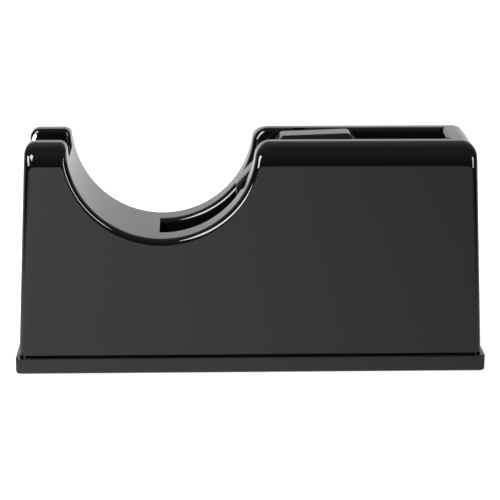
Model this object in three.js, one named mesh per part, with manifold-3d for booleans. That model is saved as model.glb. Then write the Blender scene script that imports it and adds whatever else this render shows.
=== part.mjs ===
// Desk tape dispenser for 19 mm tape on a 76 mm core.
// A weighted, glossy moulded casing stands on a flanged base. The roll turns on an octagonal hub in a deep
// well, and the tape runs over a half-round hollow to a toothed blade between two ears at the front.
// Millimetres, +Z up. X runs from the blade end (-) to the roll end (+). The origin is on the table, under
// the middle of the base.
import * as THREE from 'three';
import { mergeVertices } from 'three/addons/utils/BufferGeometryUtils.js';
import Module from 'manifold-3d';

const wasm = await Module();
wasm.setup();

// ---------- driving dimensions ----------
const GAP = 0.3;                  // clearance between pieces that touch
const WALL = 2.4;                 // moulded wall of the casing
const OVER = 10;                  // how far a cutting solid runs past the face it cuts

const TAPE = { width: 19, sideClearance: 0.65 };
const ROLL = { radius: 52, clearance: 2 };    // largest roll, and its room to the end of the well
const FOOT = { radius: 7, recess: 1.3, proud: 0.7, fromEnd: 25, fromSide: 10 };
const BASE = { length: 200, width: 55, height: 7.1, corner: 2, round: 0.5, floor: 2.7 };
const LEDGE = { end: 1.45, side: 2.15 };      // the base stands out past the casing
const LIP = { height: 4, thickness: 2 };      // upstand of the base inside the casing
const BODY = { height: 98.2, endDraft: 4.5, sideDraft: 0.2, shoulder: 9.7, edge: 3 };
const TOWER = { length: 17.2, outerCorner: 3.9, innerCorner: 3.2 };
const BLOCK = { innerCorner: 6.7, outerCorner: 5.5, endLand: 11.2 };
const SMALLEST_CORNER = 0.3;
const HOLLOW = { radius: 39.35, centreDrop: 0.8, wellOverlap: 0.9 };  // the well reaches past its middle
const EAR_GAP = { depth: 7.5, endDepth: 9, pocketDepth: 16.5 };       // down from the top of the ears
const HUB = {
  radius: 37.1, sides: 8, width: 10, rim: 2.2, web: 1.8, rib: 1.6, ring: 12.2, boss: 6, bossClearance: 0.6,
  turn: 2,                                    // how far it rests from flat, in degrees
  rise: 0.5,                                  // how far its facet stands over the casing
};
const AXLE = { radius: 2.3, grooveDepth: 1.8, lean: 12 };             // lean of the grooves, in degrees
const BLADE = {
  thickness: 0.8, length: 13, lean: 27, tipDrop: 2, inset: 1.75, sideClearance: 0.4, pitch: 1.2, tooth: 1.2,
};
const BLADE_SCREW = { head: 2, headHeight: 1.1, shank: 1.1, length: 4.5, spacing: 10 };
const CARRIER_SCREW = { head: 2.6, headHeight: 1.4, shank: 1.3, length: 7, spacing: 11 };
const BASE_SCREW = { head: 2.9, headHeight: 1.2, shank: 1.4, length: 22, fromEnd: 12 };
const PILLAR = { radius: 3.6, height: 24 };                           // the posts that the base screws hold
const BALLAST_SCREW = { head: 2.9, headHeight: 1.2, shank: 1.4, length: 10 };
const FRONT_BALLAST = { roofClearance: 12.65, wellClearance: 3, endClearance: 15, screwInset: 10 };
const SIDE_BALLAST = { roofClearance: 6.65, clearance: 0.4, endInset: 8, screwInset: 30 };
const SIDES = { screw: 16, drill: 20, bar: 24, foot: 28, ring: 32, wall: 96 };   // facets round a full turn
const STEPS = { corner: 7, smallCorner: 5, plateCorner: 6, seat: 12, shoulder: 8, hollow: 40, edge: 4 };

// ---------- places worked out from them ----------
const zBase = FOOT.proud;
const zFloor = zBase + BASE.floor;
const zLedge = zBase + BASE.height;
const zCasing = zLedge + GAP;
const zTop = zBase + BODY.height;
const footHalf = BASE.length / 2 - LEDGE.end;
const topHalf = footHalf - BODY.endDraft;
const sideHalf = BASE.width / 2 - LEDGE.side;
const endSlope = BODY.endDraft / (zTop - zLedge);
const endHalfAt = (z) => footHalf - endSlope * (z - zLedge);

const wellHalf = TAPE.width / 2 + TAPE.sideClearance;
const hollowX = -topHalf + TOWER.length + HOLLOW.radius;
const hollowZ = zTop - HOLLOW.centreDrop;
const wellLeft = hollowX - HOLLOW.wellOverlap;
const hollowRoof = hollowZ - HOLLOW.radius - WALL;   // top of the room under the hollow
const wellRight = topHalf - BLOCK.endLand;

const hubX = wellRight - ROLL.clearance - ROLL.radius;
const hubZ = zTop + HUB.rise - HUB.radius * Math.cos(Math.PI / HUB.sides);
const grooveHalf = AXLE.radius + GAP;
const grooveEnd = wellHalf + AXLE.grooveDepth;
const lean = THREE.MathUtils.degToRad(AXLE.lean);

const lipEnd = footHalf - WALL - GAP;
const lipSide = sideHalf - WALL - GAP;
const roomEnd = lipEnd - LIP.thickness;
const roomSide = lipSide - LIP.thickness;

const screwX = BASE.length / 2 - BASE_SCREW.fromEnd;
const screwY = sideHalf - WALL - PILLAR.radius + GAP;
const footX = BASE.length / 2 - FOOT.fromEnd;
const footY = BASE.width / 2 - FOOT.fromSide;
const screwSeat = (size) => zBase + GAP + size.headHeight;   // underside of a head, just inside the base

// ---------- materials ----------
const plastic = (color, roughness) => new THREE.MeshStandardMaterial({ color, roughness, metalness: 0 });
const metal = (color, roughness) => new THREE.MeshStandardMaterial({ color, roughness, metalness: 1 });
const MATERIAL = {
  casing: plastic(0x0b0b0c, 0.15),
  base: plastic(0x0b0b0c, 0.18),
  hub: plastic(0x101011, 0.22),
  carrier: plastic(0x0e0e0f, 0.4),
  blade: metal(0xc9ccd0, 0.22),
  steel: metal(0x8f9398, 0.35),
  iron: metal(0x4a4a4c, 0.6),
  rubber: plastic(0x161616, 0.85),
};

// ---------- solids ----------
function solid(geometry) {
  geometry.deleteAttribute('normal');
  geometry.deleteAttribute('uv');
  const merged = mergeVertices(geometry);
  return new wasm.Manifold(new wasm.Mesh({
    numProp: 3,
    vertProperties: new Float32Array(merged.attributes.position.array),
    triVerts: new Uint32Array(merged.index.array),
  }));
}

function box(x0, x1, y0, y1, z0, z1) {
  const geometry = new THREE.BoxGeometry(x1 - x0, y1 - y0, z1 - z0);
  return solid(geometry.translate((x0 + x1) / 2, (y0 + y1) / 2, (z0 + z1) / 2));
}

// An outline in X and Z, pushed from y0 to y1.
function prism(points, y0, y1, bevel = {}) {
  const depth = y1 - y0 - 2 * (bevel.bevelThickness ?? 0);
  const settings = { depth, bevelEnabled: false, ...bevel };
  const geometry = new THREE.ExtrudeGeometry(new THREE.Shape(points), settings);
  return solid(geometry.rotateX(Math.PI / 2).translate(0, y1 - (bevel.bevelThickness ?? 0), 0));
}

// A shape in Y and Z, pushed from x0 to x1.
function alongX(shape, x0, x1) {
  const geometry = new THREE.ExtrudeGeometry(shape, { depth: x1 - x0, bevelEnabled: false });
  geometry.applyMatrix4(new THREE.Matrix4().makeBasis(
    new THREE.Vector3(0, 1, 0),
    new THREE.Vector3(0, 0, 1),
    new THREE.Vector3(1, 0, 0),
  ));
  return solid(geometry.translate(x0, 0, 0));
}

// A bar along X, as long as it is set and with its middle at x.
function lengthways(x, radius, length) {
  const geometry = new THREE.CylinderGeometry(radius, radius, length, SIDES.drill);
  return geometry.rotateZ(Math.PI / 2).translate(x, 0, 0);
}

// A round bar across the body, along Y.
function crossBar(x, z, radius, y0, y1, sides = SIDES.bar) {
  const geometry = new THREE.CylinderGeometry(radius, radius, y1 - y0, sides);
  return solid(geometry.translate(x, (y0 + y1) / 2, z));
}

// A round bar standing up, along Z.
function upright(x, y, radius, z0, z1, sides = SIDES.screw) {
  const geometry = new THREE.CylinderGeometry(radius, radius, z1 - z0, sides).rotateX(Math.PI / 2);
  return solid(geometry.translate(x, y, (z0 + z1) / 2));
}

function arc(cx, cy, radius, from, to, steps) {
  const points = [];
  for (let i = 0; i <= steps; i += 1) {
    const angle = from + ((to - from) * i) / steps;
    points.push(new THREE.Vector2(cx + radius * Math.cos(angle), cy + radius * Math.sin(angle)));
  }
  return points;
}

function roundedPlate(halfX, halfY, corner, z0, z1, round = 0) {
  const points = [
    ...arc(halfX - corner, halfY - corner, corner, 0, Math.PI / 2, STEPS.plateCorner),
    ...arc(corner - halfX, halfY - corner, corner, Math.PI / 2, Math.PI, STEPS.plateCorner),
    ...arc(corner - halfX, corner - halfY, corner, Math.PI, 1.5 * Math.PI, STEPS.plateCorner),
    ...arc(halfX - corner, corner - halfY, corner, 1.5 * Math.PI, 2 * Math.PI, STEPS.plateCorner),
  ];
  const geometry = new THREE.ExtrudeGeometry(new THREE.Shape(points), {
    depth: z1 - z0 - 2 * round,
    bevelEnabled: round > 0,
    bevelThickness: round,
    bevelSize: round,
    bevelOffset: -round,
    bevelSegments: 2,
  });
  return solid(geometry.translate(0, 0, z0 + round));
}

const join = (solids) => solids.reduce((sum, next) => sum.add(next));
const cut = (body, tools) => tools.reduce((rest, tool) => rest.subtract(tool), body);

const dispenser = new THREE.Group();

function piece(name, material, body, position = [0, 0, 0], rotation = [0, 0, 0]) {
  const { vertProperties, triVerts } = body.getMesh();
  const geometry = new THREE.BufferGeometry();
  geometry.setAttribute('position', new THREE.BufferAttribute(new Float32Array(vertProperties), 3));
  geometry.setIndex(new THREE.BufferAttribute(new Uint32Array(triVerts), 1));
  geometry.computeVertexNormals();
  const mesh = new THREE.Mesh(geometry, material);
  mesh.name = name;
  mesh.position.set(...position);
  mesh.rotation.set(...rotation);
  dispenser.add(mesh);
}

// ---------- outline of the casing ----------
// Side outline, moved inwards by inset. The two ends lean in, and the top is broken by the round hollow.
function sideOutline(inset, zBottom) {
  const top = zTop - inset;
  const tilt = Math.atan(endSlope);
  const endX = (z) => endHalfAt(z) - inset;
  const corner = (radius) => Math.max(radius - inset, SMALLEST_CORNER);
  const hollow = HOLLOW.radius + inset;

  const blockOuter = corner(BLOCK.outerCorner);
  const blockOuterX = endX(top - blockOuter) - blockOuter / Math.cos(tilt);
  const earOuter = corner(TOWER.outerCorner);
  const earOuterX = -endX(top - earOuter) + earOuter / Math.cos(tilt);

  // A corner that rolls from the flat top into the hollow touches both.
  const rolled = (radius, side) => {
    const z = top - radius;
    const x = hollowX + side * Math.sqrt((hollow + radius) ** 2 - (hollowZ - z) ** 2);
    return { x, z, radius, angle: Math.atan2(hollowZ - z, hollowX - x) };
  };
  const block = rolled(corner(BLOCK.innerCorner), 1);
  const ear = rolled(corner(TOWER.innerCorner), -1);

  return [
    new THREE.Vector2(-endX(zBottom), zBottom),
    new THREE.Vector2(endX(zBottom), zBottom),
    ...arc(blockOuterX, top - blockOuter, blockOuter, tilt, Math.PI / 2, STEPS.corner),
    ...arc(block.x, block.z, block.radius, Math.PI / 2, block.angle, STEPS.corner),
    ...arc(hollowX, hollowZ, hollow, block.angle - Math.PI, ear.angle - Math.PI, STEPS.hollow).slice(1, -1),
    ...arc(ear.x, ear.z, ear.radius, ear.angle, Math.PI / 2, STEPS.smallCorner),
    ...arc(earOuterX, top - earOuter, earOuter, Math.PI / 2, Math.PI - tilt, STEPS.corner),
  ];
}

// Cross-section of the casing with its round shoulders, pushed along X.
function shoulders(inset, zBottom) {
  const radius = BODY.shoulder - inset;
  const top = zTop - inset;
  const foot = sideHalf - inset;
  const edge = foot - BODY.sideDraft;
  const shape = new THREE.Shape([
    new THREE.Vector2(-foot, zBottom),
    new THREE.Vector2(foot, zBottom),
    ...arc(edge - radius, top - radius, radius, 0, Math.PI / 2, STEPS.shoulder),
    ...arc(radius - edge, top - radius, radius, Math.PI / 2, Math.PI, STEPS.shoulder),
  ]);
  return alongX(shape, -BASE.length / 2, BASE.length / 2);
}

// Both axle grooves in one bar: a round seat at the hub's centre, and a slot leaning up to the rim.
function groove(halfWidth, reach, top) {
  const run = (top - hubZ) / Math.cos(lean);
  const along = new THREE.Vector2(-Math.sin(lean), Math.cos(lean)).multiplyScalar(run);
  const seat = arc(hubX, hubZ, halfWidth, Math.PI + lean, 2 * Math.PI + lean, STEPS.seat);
  const mouth = [seat[seat.length - 1].clone().add(along), seat[0].clone().add(along)];
  return prism([...seat, ...mouth], -reach, reach);
}

function corners(x, y) {
  return [[-x, -y], [x, -y], [x, y], [-x, y]];
}

const pillarPlaces = corners(screwX, screwY);
const footPlaces = corners(footX, footY);

// ---------- casing ----------
function makeCasing() {
  const skin = prism(sideOutline(0, zCasing - OVER), -sideHalf, sideHalf, {
    bevelEnabled: true,
    bevelThickness: BODY.edge,
    bevelSize: BODY.edge,
    bevelOffset: -BODY.edge,
    bevelSegments: STEPS.edge,
  });
  const outer = cut(skin.intersect(shoulders(0, zCasing - OVER)), [
    box(-BASE.length, BASE.length, -BASE.width, BASE.width, -OVER * 2, zCasing),
  ]);

  const pocketFloor = zTop - EAR_GAP.pocketDepth;
  const pocketLeft = -endHalfAt(pocketFloor) + WALL;
  const room = prism(sideOutline(WALL, zCasing - OVER), -sideHalf, sideHalf);
  const cavity = cut(
    room.intersect(shoulders(WALL, zCasing - OVER)),
    [
      box(wellLeft - WALL, wellRight + WALL, -wellHalf - WALL, wellHalf + WALL, 0, zTop),
      box(-BASE.length, hollowX, -wellHalf - WALL, wellHalf + WALL, pocketFloor - WALL, zTop),
      groove(grooveHalf + WALL, grooveEnd + WALL, zTop),
      ...pillarPlaces.map(([x, y]) => upright(x, y, PILLAR.radius, 0, zCasing + PILLAR.height)),
    ],
  );

  const well = box(wellLeft, wellRight, -wellHalf, wellHalf, 0, zTop + OVER);
  const earGap = box(-BASE.length, hollowX, -wellHalf, wellHalf, zTop - EAR_GAP.depth, zTop + OVER);
  const endTop = zTop - EAR_GAP.endDepth;
  const endGap = box(-BASE.length, pocketLeft + WALL, -wellHalf, wellHalf, endTop, zTop + OVER);
  const pocket = box(pocketLeft, hollowX, -wellHalf, wellHalf, pocketFloor, zTop + OVER)
    .subtract(crossBar(hollowX, hollowZ, HOLLOW.radius + WALL, -BASE.width, BASE.width, SIDES.wall));
  const screwHoles = [
    ...pillarPlaces.map(([x, y]) => upright(
      x, y, BASE_SCREW.shank + GAP, 0, zCasing + BASE_SCREW.length,
    )),
    ...carrierScrewPlaces().map(([x, y]) => upright(
      x, y, CARRIER_SCREW.shank + GAP, pocketFloor - WALL - OVER, pocketFloor + OVER,
    )),
  ];
  const grooves = groove(grooveHalf, grooveEnd, zTop + OVER);
  return cut(outer, [cavity, well, earGap, endGap, pocket, grooves, ...screwHoles]);
}

// ---------- base ----------
function makeBase() {
  const slab = roundedPlate(BASE.length / 2, BASE.width / 2, BASE.corner, zBase, zLedge, BASE.round);
  const tray = roundedPlate(roomEnd, roomSide, BASE.corner, zFloor, zLedge + OVER);
  const lipCorner = BASE.corner + LIP.thickness;
  const lip = roundedPlate(lipEnd, lipSide, lipCorner, zLedge - BASE.round, zLedge + LIP.height);
  const bosses = pillarPlaces.map(([x, y]) => upright(x, y, PILLAR.radius, zBase + BASE.round, zLedge));
  const aroundPillars = pillarPlaces.map(([x, y]) => upright(
    x, y, PILLAR.radius + 2 * GAP, zLedge, zLedge + LIP.height + OVER,
  ));
  const feet = footPlaces.map(([x, y]) => upright(
    x, y, FOOT.radius + GAP, -OVER, zBase + FOOT.recess, SIDES.foot,
  ));
  const screwHoles = [...pillarPlaces, ...ballastScrewPlaces()].flatMap(([x, y]) => [
    upright(x, y, BASE_SCREW.head + GAP, -OVER, screwSeat(BASE_SCREW) + GAP),
    upright(x, y, BASE_SCREW.shank + GAP, 0, zLedge + OVER),
  ]);
  const body = join([cut(slab.add(lip), [tray]), ...bosses]);
  return cut(body, [...aroundPillars, ...feet, ...screwHoles]);
}

// ---------- blade and its carrier ----------
const bladeLean = THREE.MathUtils.degToRad(BLADE.lean);
const bladeHalf = wellHalf - BLADE.sideClearance;
const bladeTip = { x: -endHalfAt(zTop - BLADE.tipDrop) + BLADE.inset, z: zTop - BLADE.tipDrop };
// A point down the blade's back face, measured from its tip.
const bladeBack = (down) => new THREE.Vector2(
  bladeTip.x + down * Math.sin(bladeLean) + BLADE.thickness * Math.cos(bladeLean),
  bladeTip.z - down * Math.cos(bladeLean) + BLADE.thickness * Math.sin(bladeLean),
);
const carrierTop = zTop - EAR_GAP.depth - GAP;
const carrierFloor = zTop - EAR_GAP.pocketDepth + GAP;
const carrierHalf = wellHalf - GAP;

function bladeScrewDown() {
  return (zTop - BLADE.tipDrop - (carrierTop + carrierFloor) / 2) / Math.cos(bladeLean);
}

function carrierScrewPlaces() {
  const x = (bladeBack(BLADE.length).x + hollowX - HOLLOW.radius - WALL) / 2;
  return [-1, 1].map((side) => [x, (side * CARRIER_SCREW.spacing) / 2]);
}

function makeBlade() {
  const teeth = Math.floor((2 * bladeHalf) / BLADE.pitch);
  const pitch = (2 * bladeHalf) / teeth;
  const points = [-1, 1].map((side) => new THREE.Vector2(side * bladeHalf, -BLADE.length));
  for (let i = teeth; i > 0; i -= 1) {
    points.push(new THREE.Vector2(-bladeHalf + i * pitch, -BLADE.tooth));
    points.push(new THREE.Vector2(-bladeHalf + (i - 0.5) * pitch, 0));
  }
  points.push(new THREE.Vector2(-bladeHalf, -BLADE.tooth));
  const holes = [-1, 1].map((side) => {
    const drill = lengthways(0, BLADE_SCREW.shank + GAP, OVER);
    return solid(drill.translate(0, (side * BLADE_SCREW.spacing) / 2, -bladeScrewDown()));
  });
  return cut(alongX(new THREE.Shape(points), 0, BLADE.thickness), holes);
}

function makeBladeScrew() {
  const head = lengthways(-GAP - BLADE_SCREW.headHeight / 2, BLADE_SCREW.head, BLADE_SCREW.headHeight);
  const shank = lengthways((BLADE_SCREW.length - GAP) / 2, BLADE_SCREW.shank, BLADE_SCREW.length + GAP);
  return solid(head).add(solid(shank));
}

function makeCarrier() {
  const down = (z) => (bladeTip.z - z) / Math.cos(bladeLean) + BLADE.thickness * Math.tan(bladeLean);
  const face = (z) => new THREE.Vector2(bladeBack(down(z)).x + GAP / Math.cos(bladeLean), z);
  const right = hollowX;
  const block = prism([
    face(carrierTop),
    face(carrierFloor),
    new THREE.Vector2(right, carrierFloor),
    new THREE.Vector2(right, carrierTop),
  ], -carrierHalf, carrierHalf);
  const wallRadius = HOLLOW.radius + WALL + GAP;
  const hollowWall = crossBar(hollowX, hollowZ, wallRadius, -BASE.width, BASE.width, SIDES.wall);
  const bladeHoles = [-1, 1].map((side) => {
    const drill = lengthways(0, BLADE_SCREW.shank + GAP, 2 * BLADE_SCREW.length);
    drill.translate(0, (side * BLADE_SCREW.spacing) / 2, -bladeScrewDown());
    drill.rotateY(-bladeLean);
    return solid(drill.translate(bladeTip.x, 0, bladeTip.z));
  });
  const screwHoles = carrierScrewPlaces().map(([x, y]) => upright(
    x, y, CARRIER_SCREW.shank + GAP, carrierFloor - OVER, carrierFloor + CARRIER_SCREW.length - WALL,
  ));
  return cut(block, [hollowWall, ...bladeHoles, ...screwHoles]);
}

// A screw that goes in from below: its head hangs under z = 0 and its shank points up.
function makeUpwardScrew(size) {
  return upright(0, 0, size.head, -size.headHeight, 0).add(upright(0, 0, size.shank, -GAP, size.length));
}

// ---------- ballast ----------
const frontBallast = {
  left: -footHalf + FRONT_BALLAST.endClearance,
  right: wellLeft - WALL - FRONT_BALLAST.wellClearance,
};
const sideBallast = {
  left: wellLeft + SIDE_BALLAST.endInset,
  right: wellRight - SIDE_BALLAST.endInset,
  inner: wellHalf + WALL + SIDE_BALLAST.clearance,
  outer: roomSide - GAP,
};

function ballastScrewPlaces() {
  const y = (sideBallast.inner + sideBallast.outer) / 2;
  const along = [sideBallast.left + SIDE_BALLAST.screwInset, sideBallast.right - SIDE_BALLAST.screwInset];
  return [
    [frontBallast.left + FRONT_BALLAST.screwInset, 0],
    [frontBallast.right - FRONT_BALLAST.screwInset, 0],
    ...along.map((x) => [x, -y]),
    ...along.map((x) => [x, y]),
  ];
}

function makeBallast(x0, x1, y0, y1, roofClearance) {
  const holes = ballastScrewPlaces().map(([x, y]) => upright(
    x, y, BALLAST_SCREW.shank + GAP, 0, screwSeat(BALLAST_SCREW) + BALLAST_SCREW.length + GAP,
  ));
  return cut(box(x0, x1, y0, y1, zFloor + GAP, hollowRoof - roofClearance), holes);
}

// ---------- hub and axle ----------
function octagon(circumradius) {
  const turn = THREE.MathUtils.degToRad(HUB.turn) + Math.PI / HUB.sides;
  return arc(0, 0, circumradius, turn, turn + 2 * Math.PI, HUB.sides).slice(0, -1);
}

// The hub is built round its own centre, with its axis along Y.
function makeHub() {
  const rimHalf = HUB.width / 2;
  const inside = HUB.radius - HUB.rim / Math.cos(Math.PI / HUB.sides);
  const bossHalf = wellHalf - HUB.bossClearance;
  const rim = prism(octagon(HUB.radius), -rimHalf, rimHalf)
    .subtract(prism(octagon(inside), -rimHalf - OVER, rimHalf + OVER));
  const web = prism(octagon(HUB.radius - HUB.rim / 2), -HUB.web / 2, HUB.web / 2);
  const ring = crossBar(0, 0, HUB.ring, -rimHalf, rimHalf, SIDES.ring)
    .subtract(crossBar(0, 0, HUB.ring - HUB.rim, -rimHalf - OVER, rimHalf + OVER, SIDES.ring));
  const ribs = [];
  for (let i = 0; i < HUB.sides; i += 1) {
    const rib = new THREE.BoxGeometry(inside - HUB.boss, HUB.width - 2 * HUB.rim, HUB.rib);
    rib.translate((inside * Math.cos(Math.PI / HUB.sides) + HUB.boss) / 2, 0, 0);
    rib.rotateY(-(THREE.MathUtils.degToRad(HUB.turn) + (i * 2 * Math.PI) / HUB.sides));
    ribs.push(solid(rib));
  }
  const clipped = join(ribs).intersect(prism(octagon(HUB.radius - HUB.rim / 2), -rimHalf, rimHalf));
  const boss = crossBar(0, 0, HUB.boss, -bossHalf, bossHalf);
  const bore = crossBar(0, 0, AXLE.radius + GAP, -wellHalf, wellHalf);
  return cut(join([rim, web, ring, clipped, boss]), [bore]);
}

// ---------- assembly ----------
piece('body_shell', MATERIAL.casing, makeCasing());
piece('base_plate', MATERIAL.base, makeBase());

piece('blade_carrier', MATERIAL.carrier, makeCarrier());
const bladeTurn = [0, -bladeLean, 0];
piece('cutter_blade', MATERIAL.blade, makeBlade(), [bladeTip.x, 0, bladeTip.z], bladeTurn);
const bladeScrew = makeBladeScrew();
[-1, 1].forEach((side, i) => {
  const down = bladeScrewDown();
  const y = (side * BLADE_SCREW.spacing) / 2;
  const x = bladeTip.x + down * Math.sin(bladeLean);
  const z = bladeTip.z - down * Math.cos(bladeLean);
  piece(`blade_screw_${i + 1}`, MATERIAL.steel, bladeScrew, [x, y, z], bladeTurn);
});
const carrierScrew = makeUpwardScrew(CARRIER_SCREW);
carrierScrewPlaces().forEach(([x, y], i) => {
  const z = zTop - EAR_GAP.pocketDepth - WALL - GAP;
  piece(`carrier_screw_${i + 1}`, MATERIAL.steel, carrierScrew, [x, y, z]);
});

piece('core_hub', MATERIAL.hub, makeHub(), [hubX, 0, hubZ]);
const axle = crossBar(0, 0, AXLE.radius, GAP - grooveEnd, grooveEnd - GAP);
piece('hub_axle', MATERIAL.steel, axle, [hubX, 0, hubZ]);

const frontBody = makeBallast(
  frontBallast.left, frontBallast.right, GAP - roomSide, roomSide - GAP, FRONT_BALLAST.roofClearance,
);
piece('ballast_front', MATERIAL.iron, frontBody);
[['near', -sideBallast.outer, -sideBallast.inner], ['far', sideBallast.inner, sideBallast.outer]]
  .forEach(([side, y0, y1]) => {
    const body = makeBallast(sideBallast.left, sideBallast.right, y0, y1, SIDE_BALLAST.roofClearance);
    piece(`ballast_${side}`, MATERIAL.iron, body);
  });

const ballastScrew = makeUpwardScrew(BALLAST_SCREW);
ballastScrewPlaces().forEach(([x, y], i) => {
  piece(`ballast_screw_${i + 1}`, MATERIAL.steel, ballastScrew, [x, y, screwSeat(BALLAST_SCREW)]);
});
const baseScrew = makeUpwardScrew(BASE_SCREW);
pillarPlaces.forEach(([x, y], i) => {
  piece(`base_screw_${i + 1}`, MATERIAL.steel, baseScrew, [x, y, screwSeat(BASE_SCREW)]);
});
const foot = upright(0, 0, FOOT.radius, 0, zBase + FOOT.recess - GAP, SIDES.foot);
footPlaces.forEach(([x, y], i) => piece(`foot_${i + 1}`, MATERIAL.rubber, foot, [x, y, 0]));

export default dispenser;
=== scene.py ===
"""Desk tape dispenser: the finished look of a glossy casing, its base, blade, hub and fittings."""
from __future__ import annotations

import logging
import math
from contextlib import contextmanager
from dataclasses import dataclass, field
from enum import Enum
from typing import Iterable, Iterator, Sequence

import bmesh
import bpy
from mathutils import Euler, Matrix, Vector


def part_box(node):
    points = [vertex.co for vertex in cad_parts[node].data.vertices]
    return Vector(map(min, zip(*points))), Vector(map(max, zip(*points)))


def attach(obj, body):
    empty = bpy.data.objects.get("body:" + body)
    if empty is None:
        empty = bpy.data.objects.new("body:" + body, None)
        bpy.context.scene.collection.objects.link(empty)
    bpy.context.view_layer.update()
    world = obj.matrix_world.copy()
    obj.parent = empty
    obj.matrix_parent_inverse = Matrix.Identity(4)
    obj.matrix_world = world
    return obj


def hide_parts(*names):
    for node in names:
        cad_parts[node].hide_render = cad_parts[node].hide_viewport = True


MM = 0.001
GAP = 0.3 * MM          # clearance round what goes into a hole
OVER = 10 * MM          # how far a cutter reaches past what it cuts
SAME = 0.005 * MM       # places closer than this are one place
FLAT = 0.001 * MM       # how exactly a vertex lies in a named plane
LOG = logging.getLogger("dispenser")

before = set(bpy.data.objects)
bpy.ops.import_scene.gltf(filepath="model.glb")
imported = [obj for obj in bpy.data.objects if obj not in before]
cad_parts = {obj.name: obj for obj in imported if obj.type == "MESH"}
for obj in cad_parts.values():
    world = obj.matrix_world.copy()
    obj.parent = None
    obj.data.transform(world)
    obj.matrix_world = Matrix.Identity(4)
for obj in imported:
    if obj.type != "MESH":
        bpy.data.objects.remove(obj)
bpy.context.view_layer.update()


# ---------------------------------------------------------------------------
# shader maths
# ---------------------------------------------------------------------------
class Wire:
    """A shader socket that can be used in Python expressions."""

    def __init__(self, tree: "ShaderTree", socket: bpy.types.NodeSocket) -> None:
        """Wraps a socket of a tree."""
        self.tree = tree
        self.socket = socket

    def _math(self, operation: str, *values: object) -> "Wire":
        """Adds one Math node.

        Args:
            operation: the Math node's operation.
            values: its inputs in order.

        Returns:
            The node's result.
        """
        return self.tree.node("ShaderNodeMath", {"operation": operation}, dict(enumerate(values)))

    def __add__(self, other: object) -> "Wire":
        """self + other."""
        return self._math("ADD", self, other)

    __radd__ = __add__

    def __sub__(self, other: object) -> "Wire":
        """self - other."""
        return self._math("SUBTRACT", self, other)

    def __rsub__(self, other: object) -> "Wire":
        """other - self."""
        return self._math("SUBTRACT", other, self)

    def __mul__(self, other: object) -> "Wire":
        """self * other."""
        return self._math("MULTIPLY", self, other)

    __rmul__ = __mul__

    def above(self, limit: float, width: float) -> "Wire":
        """A soft step.

        Args:
            limit: where the step is.
            width: how wide it is.

        Returns:
            0 below the limit, 1 above it, and a smooth ramp between.
        """
        settings = {"interpolation_type": "SMOOTHSTEP"}
        values = {"Value": self, "From Min": limit - width / 2, "From Max": limit + width / 2}
        return self.tree.node("ShaderNodeMapRange", settings, values)


class ShaderTree:
    """A node tree that is filled by one node-making method."""

    def __init__(self, tree: bpy.types.NodeTree) -> None:
        """Empties the tree."""
        self.tree = tree
        tree.nodes.clear()

    def node(
        self, kind: str, settings: dict | None = None, values: dict | None = None, out: object = 0,
    ) -> Wire:
        """Adds a node.

        Args:
            kind: the node's type.
            settings: properties set before its sockets.
            values: socket name or number to a value or a Wire.
            out: the output to hand back, by name or number.

        Returns:
            The chosen output.
        """
        made = self.tree.nodes.new(kind)
        for key, value in (settings or {}).items():
            setattr(made, key, value)
        for key, value in (values or {}).items():
            if isinstance(value, Wire):
                self.tree.links.new(value.socket, made.inputs[key])
            else:
                made.inputs[key].default_value = value
        return Wire(self, made.outputs[out]) if len(made.outputs) else Wire(self, None)

    def axes(self, vector: Wire) -> list[Wire]:
        """Splits a vector into X, Y and Z."""
        split = self.node("ShaderNodeSeparateXYZ", values={0: vector}).socket.node
        return [Wire(self, socket) for socket in split.outputs]

    def noise(self, scale: float, detail: float = 3.0, stretch: tuple = (1, 1, 1)) -> Wire:
        """Noise on the object's own coordinates.

        Args:
            scale: how many waves per metre.
            detail: octaves.
            stretch: scale along each axis, for brushed or drawn grain.

        Returns:
            A value around 0.5.
        """
        place = self.node("ShaderNodeTexCoord", out="Object")
        turned = self.node("ShaderNodeMapping", values={"Vector": place, "Scale": stretch})
        return self.node("ShaderNodeTexNoise", values={"Vector": turned, "Scale": scale, "Detail": detail})

    def blend(self, factor: Wire, low: tuple, high: tuple) -> Wire:
        """Mixes two colours by a factor."""
        colors = {6: (*low, 1.0), 7: (*high, 1.0)}
        return self.node("ShaderNodeMix", {"data_type": "RGBA"}, {"Factor": factor, **colors}, out=2)


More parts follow.
